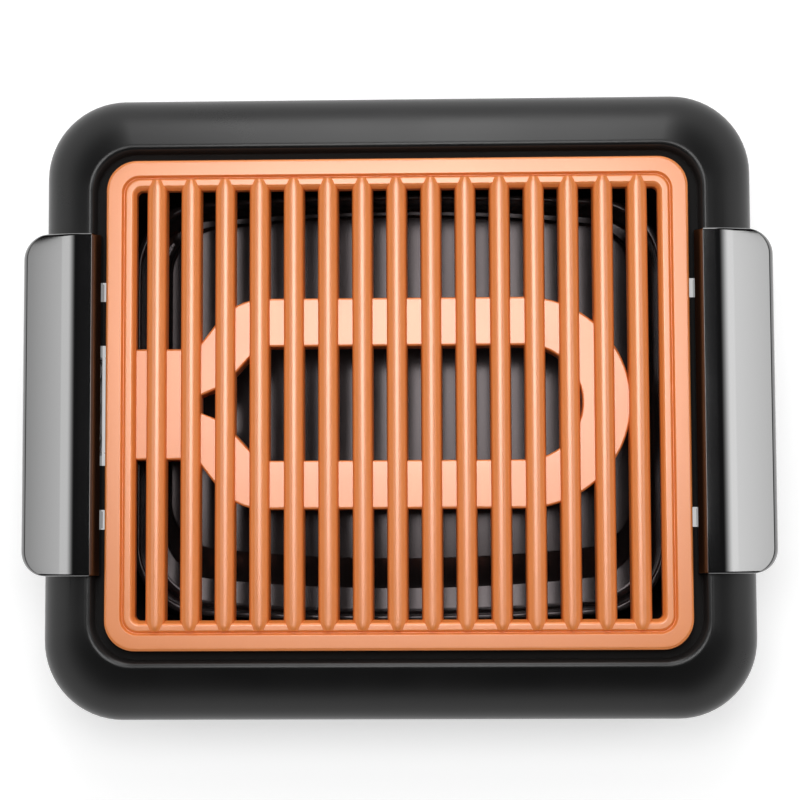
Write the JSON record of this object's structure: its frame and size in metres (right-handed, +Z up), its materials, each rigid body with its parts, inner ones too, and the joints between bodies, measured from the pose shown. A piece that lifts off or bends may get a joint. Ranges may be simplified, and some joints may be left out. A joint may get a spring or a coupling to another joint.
{
  "type": "smokeless indoor grill",
  "caption": "Countertop electric grill: copper-coloured cast grill plate with half-round bars and a cast-in heater, over a drip tray in a black moulded base with two wing handles.",
  "frame": {"origin": "on the table under the middle of the object", "axes": "+X to the right along the two handles, +Y to the back, +Z up"},
  "size_m": [0.419, 0.352, 0.0925],
  "materials": {
    "base_moulding": "fine matt, moulded",
    "handle_moulding": "high gloss",
    "tray_sheet": "satin non-stick coat on pressed sheet",
    "plate_coat": "copper-coloured non-stick coat on a casting",
    "element_steel": "heat-dulled tube",
    "terminal_metal": "bright plated",
    "screw_steel": "zinc plated",
    "guard_sheet": "bent sheet",
    "ceramic": "unglazed",
    "foot_rubber": "matt"
  },
  "bodies": {
    "base": {"base_housing": "base_moulding", "handle_left": "handle_moulding", "handle_right": "handle_moulding", "handle_screw_left_front": "screw_steel", "handle_screw_left_rear": "screw_steel", "handle_screw_right_front": "screw_steel", "handle_screw_right_rear": "screw_steel", "foot_front_left": "foot_rubber", "foot_front_right": "foot_rubber", "foot_rear_left": "foot_rubber", "foot_rear_right": "foot_rubber"},
    "tray": {"drip_tray": "tray_sheet"},
    "plate": {"grill_plate": "plate_coat", "heating_element": "element_steel", "terminal_pin_front": "terminal_metal", "terminal_pin_rear": "terminal_metal", "insulator_front": "ceramic", "insulator_rear": "ceramic", "probe_sleeve": "terminal_metal", "terminal_guard": "guard_sheet", "guard_screw_front": "screw_steel", "guard_screw_rear": "screw_steel"}
  },
  "joints": [
    {"name": "tray_lift", "type": "slide", "parent": "base", "child": "tray", "axis": [0, 0, 1], "range_m": [0, 0.12]},
    {"name": "plate_lift", "type": "slide", "parent": "tray", "child": "plate", "axis": [0, 0, 1], "range_m": [0, 0.12]}
  ]
}
